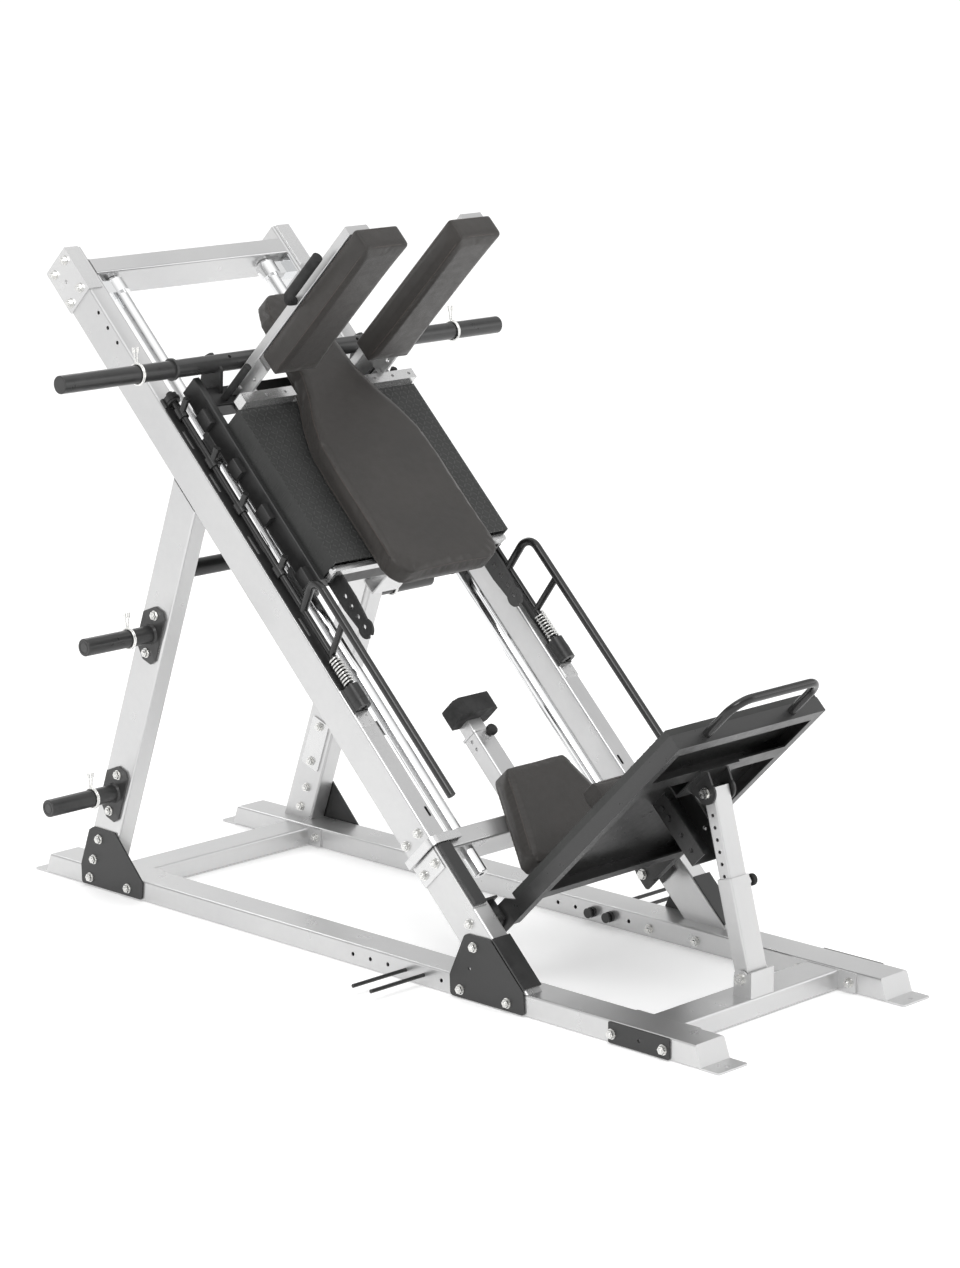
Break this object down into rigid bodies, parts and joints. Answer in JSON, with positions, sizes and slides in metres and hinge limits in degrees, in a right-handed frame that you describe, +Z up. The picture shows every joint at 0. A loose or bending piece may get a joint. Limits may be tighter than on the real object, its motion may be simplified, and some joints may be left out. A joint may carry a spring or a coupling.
{
  "type": "hack squat machine",
  "caption": "Plate-loaded 45 degree hack squat and leg press frame with sliding padded carriage, tilting footplate, seat pad, safety bars and plate storage pegs.",
  "frame": {"origin": "floor level, centre of the overall bounding box", "axes": "+X to the machine's right seen from the footplate end, +Y from the footplate towards the high end of the incline, +Z up"},
  "size_m": [1.5552, 2.466, 1.8286],
  "materials": {
    "silver": "satin",
    "silver_plate": "satin",
    "black_steel": "satin",
    "sleeve_grey": "satin",
    "chrome": "polished",
    "steel_tube": "brushed",
    "zinc": "bright",
    "textured": "textured",
    "vinyl": "grained",
    "rubber": "matte",
    "knob": "matte",
    "spring_wire": "bright",
    "collar_wire": "bright"
  },
  "bodies": {
    "frame": {"base_rail_l": "silver", "base_rail_r": "silver", "rear_crossmember": "silver", "front_crossmember": "silver", "incline_rail_l": "silver", "incline_rail_r": "silver", "rear_upright_l": "silver", "rear_upright_r": "silver", "incline_crossmembers": "silver", "upright_tie_tube": "black_steel", "front_gussets": "black_steel", "rear_gussets": "black_steel", "top_plates": "silver_plate", "guide_rods": "chrome", "rod_top_clamps": "chrome", "rod_saddles": "silver_plate", "storage_pegs_upper": "sleeve_grey", "storage_pegs_lower": "sleeve_grey", "peg_backing_plates": "silver_plate", "band_pegs": "black_steel", "hinge_brackets": "black_steel", "pivot_bolts": "zinc", "safety_bearings": "black_steel", "safety_strips": "black_steel", "safety_springs": "spring_wire", "seat_post_outer": "silver", "seat_mount_plate": "black_steel", "seat_pad": "vinyl", "frame_bolts": "zinc"},
    "seat_slider": {"seat_post_inner": "steel_tube", "stop_bumper": "rubber"},
    "seat_pin": {"seat_pull_pin": "knob"},
    "footplate": {"footplate": "black_steel", "footplate_tread": "textured", "footplate_handle": "black_steel", "footplate_block": "vinyl", "footplate_brackets": "black_steel", "head_bolt": "zinc"},
    "post_lower": {"post_lower": "silver"},
    "post_upper": {"post_upper": "steel_tube"},
    "post_pin": {"post_pull_pin": "knob"},
    "carriage": {"carriage_frame": "black_steel", "rod_bushings": "black_steel", "carriage_plate": "textured", "carriage_fittings": "silver_plate", "weight_sleeve": "sleeve_grey", "band_plates": "black_steel", "back_pad": "vinyl", "shoulder_pad_l": "vinyl", "shoulder_pad_r": "vinyl", "pad_arms": "silver", "hand_grips": "rubber"},
    "safety_bar_l": {"safety_bar_l": "black_steel"},
    "safety_bar_r": {"safety_bar_r": "black_steel"},
    "collar_main_l": {"collar_main_l": "collar_wire"},
    "collar_main_r": {"collar_main_r": "collar_wire"},
    "collar_upper_l": {"collar_upper_l": "collar_wire"},
    "collar_upper_r": {"collar_upper_r": "collar_wire"},
    "collar_lower_l": {"collar_lower_l": "collar_wire"},
    "collar_lower_r": {"collar_lower_r": "collar_wire"}
  },
  "joints": [
    {"name": "carriage_slide", "type": "slide", "parent": "frame", "child": "carriage", "axis": [0, 0.7071, 0.7071], "range_m": [-0.378, 0.35]},
    {"name": "footplate_tilt", "type": "hinge", "parent": "frame", "child": "footplate", "pos_m": [0, -0.41239, 0.17593], "axis": [1, 0, 0], "range_deg": [-4, 9]},
    {"name": "post_swing", "type": "hinge", "parent": "frame", "child": "post_lower", "pos_m": [0, -0.998, 0.0962], "axis": [1, 0, 0], "range_deg": [-2.5, 5]},
    {"name": "post_extend", "type": "slide", "parent": "post_lower", "child": "post_upper", "axis": [0, 0.2603, 0.9655], "range_m": [-0.087, 0.039]},
    {"name": "post_pin_pull", "type": "slide", "parent": "post_lower", "child": "post_pin", "axis": [1, 0, 0], "range_m": [0, 0.012], "stiffness_N_per_m": 600, "springref_m": -0.01},
    {"name": "seat_slide", "type": "slide", "parent": "frame", "child": "seat_slider", "axis": [0, 0.7071, 0.7071], "range_m": [-0.03, 0.12]},
    {"name": "seat_pin_pull", "type": "slide", "parent": "frame", "child": "seat_pin", "axis": [0, -0.7071, 0.7071], "range_m": [0, 0.012], "stiffness_N_per_m": 600, "springref_m": -0.01},
    {"name": "safety_l", "type": "hinge", "parent": "frame", "child": "safety_bar_l", "pos_m": [-0.3704, 0.27832, 0.99447], "axis": [0, -0.7071, -0.7071], "range_deg": [0, 45], "stiffness_Nm_per_rad": 8, "springref_deg": -34.38},
    {"name": "safety_r", "type": "hinge", "parent": "frame", "child": "safety_bar_r", "pos_m": [0.3704, 0.27832, 0.99447], "axis": [0, 0.7071, 0.7071], "range_deg": [0, 45], "stiffness_Nm_per_rad": 8, "springref_deg": -34.38},
    {"name": "collar_main_l_slide", "type": "slide", "parent": "carriage", "child": "collar_main_l", "axis": [-1, 0, 0], "range_m": [-0.085, 0.225]},
    {"name": "collar_main_r_slide", "type": "slide", "parent": "carriage", "child": "collar_main_r", "axis": [1, 0, 0], "range_m": [-0.165, 0.145]},
    {"name": "collar_upper_l_slide", "type": "slide", "parent": "frame", "child": "collar_upper_l", "axis": [-1, 0, 0], "range_m": [-0.04, 0.125]},
    {"name": "collar_upper_r_slide", "type": "slide", "parent": "frame", "child": "collar_upper_r", "axis": [1, 0, 0], "range_m": [-0.04, 0.125]},
    {"name": "collar_lower_l_slide", "type": "slide", "parent": "frame", "child": "collar_lower_l", "axis": [-1, 0, 0], "range_m": [-0.04, 0.125]},
    {"name": "collar_lower_r_slide", "type": "slide", "parent": "frame", "child": "collar_lower_r", "axis": [1, 0, 0], "range_m": [-0.04, 0.125]}
  ],
  "couplings": [
    {"joint": "post_swing", "follows": "footplate_tilt", "ratio": 0.494},
    {"joint": "post_extend", "follows": "footplate_tilt", "m_per_rad": -0.5447}
  ]
}
